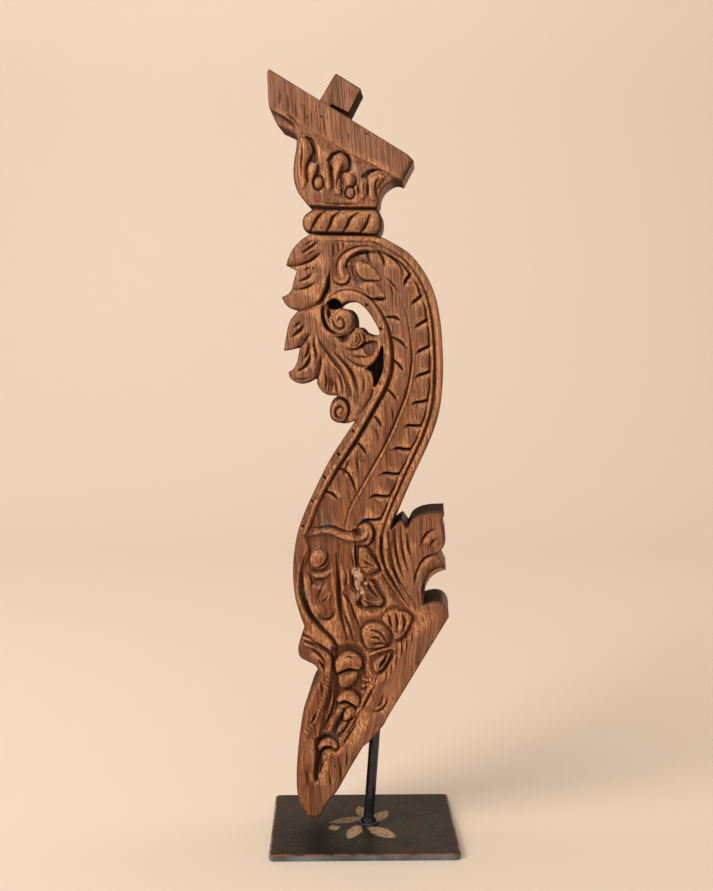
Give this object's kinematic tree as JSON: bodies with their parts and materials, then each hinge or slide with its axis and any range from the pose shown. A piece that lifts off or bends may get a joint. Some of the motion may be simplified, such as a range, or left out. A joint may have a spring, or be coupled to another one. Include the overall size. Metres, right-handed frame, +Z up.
{
  "type": "carved wooden balcony bracket on a display stand",
  "caption": "Carved wooden S-shaped balcony bracket with a roped collar and leaf scrolls, held on a leaning steel rod over a painted plate.",
  "frame": {"origin": "middle of the steel plate's underside", "axes": "+X to the wall side of the bracket, +Y to its plainer back, +Z up; the carved face looks to -Y, turned 4.5 degrees about the rod"},
  "size_m": [0.175, 0.14, 0.7095],
  "materials": {
    "carved_wood": "old bare teak, worn and dry, with dirt in the hollows",
    "black_steel": "blue-black, glossy",
    "painted_steel": "dark worn paint with bare and rusty edges"
  },
  "bodies": {
    "root": {"carved_bracket": "carved_wood", "support_rod": "black_steel", "foot_ring": "black_steel", "base_plate": "painted_steel"}
  },
  "joints": []
}
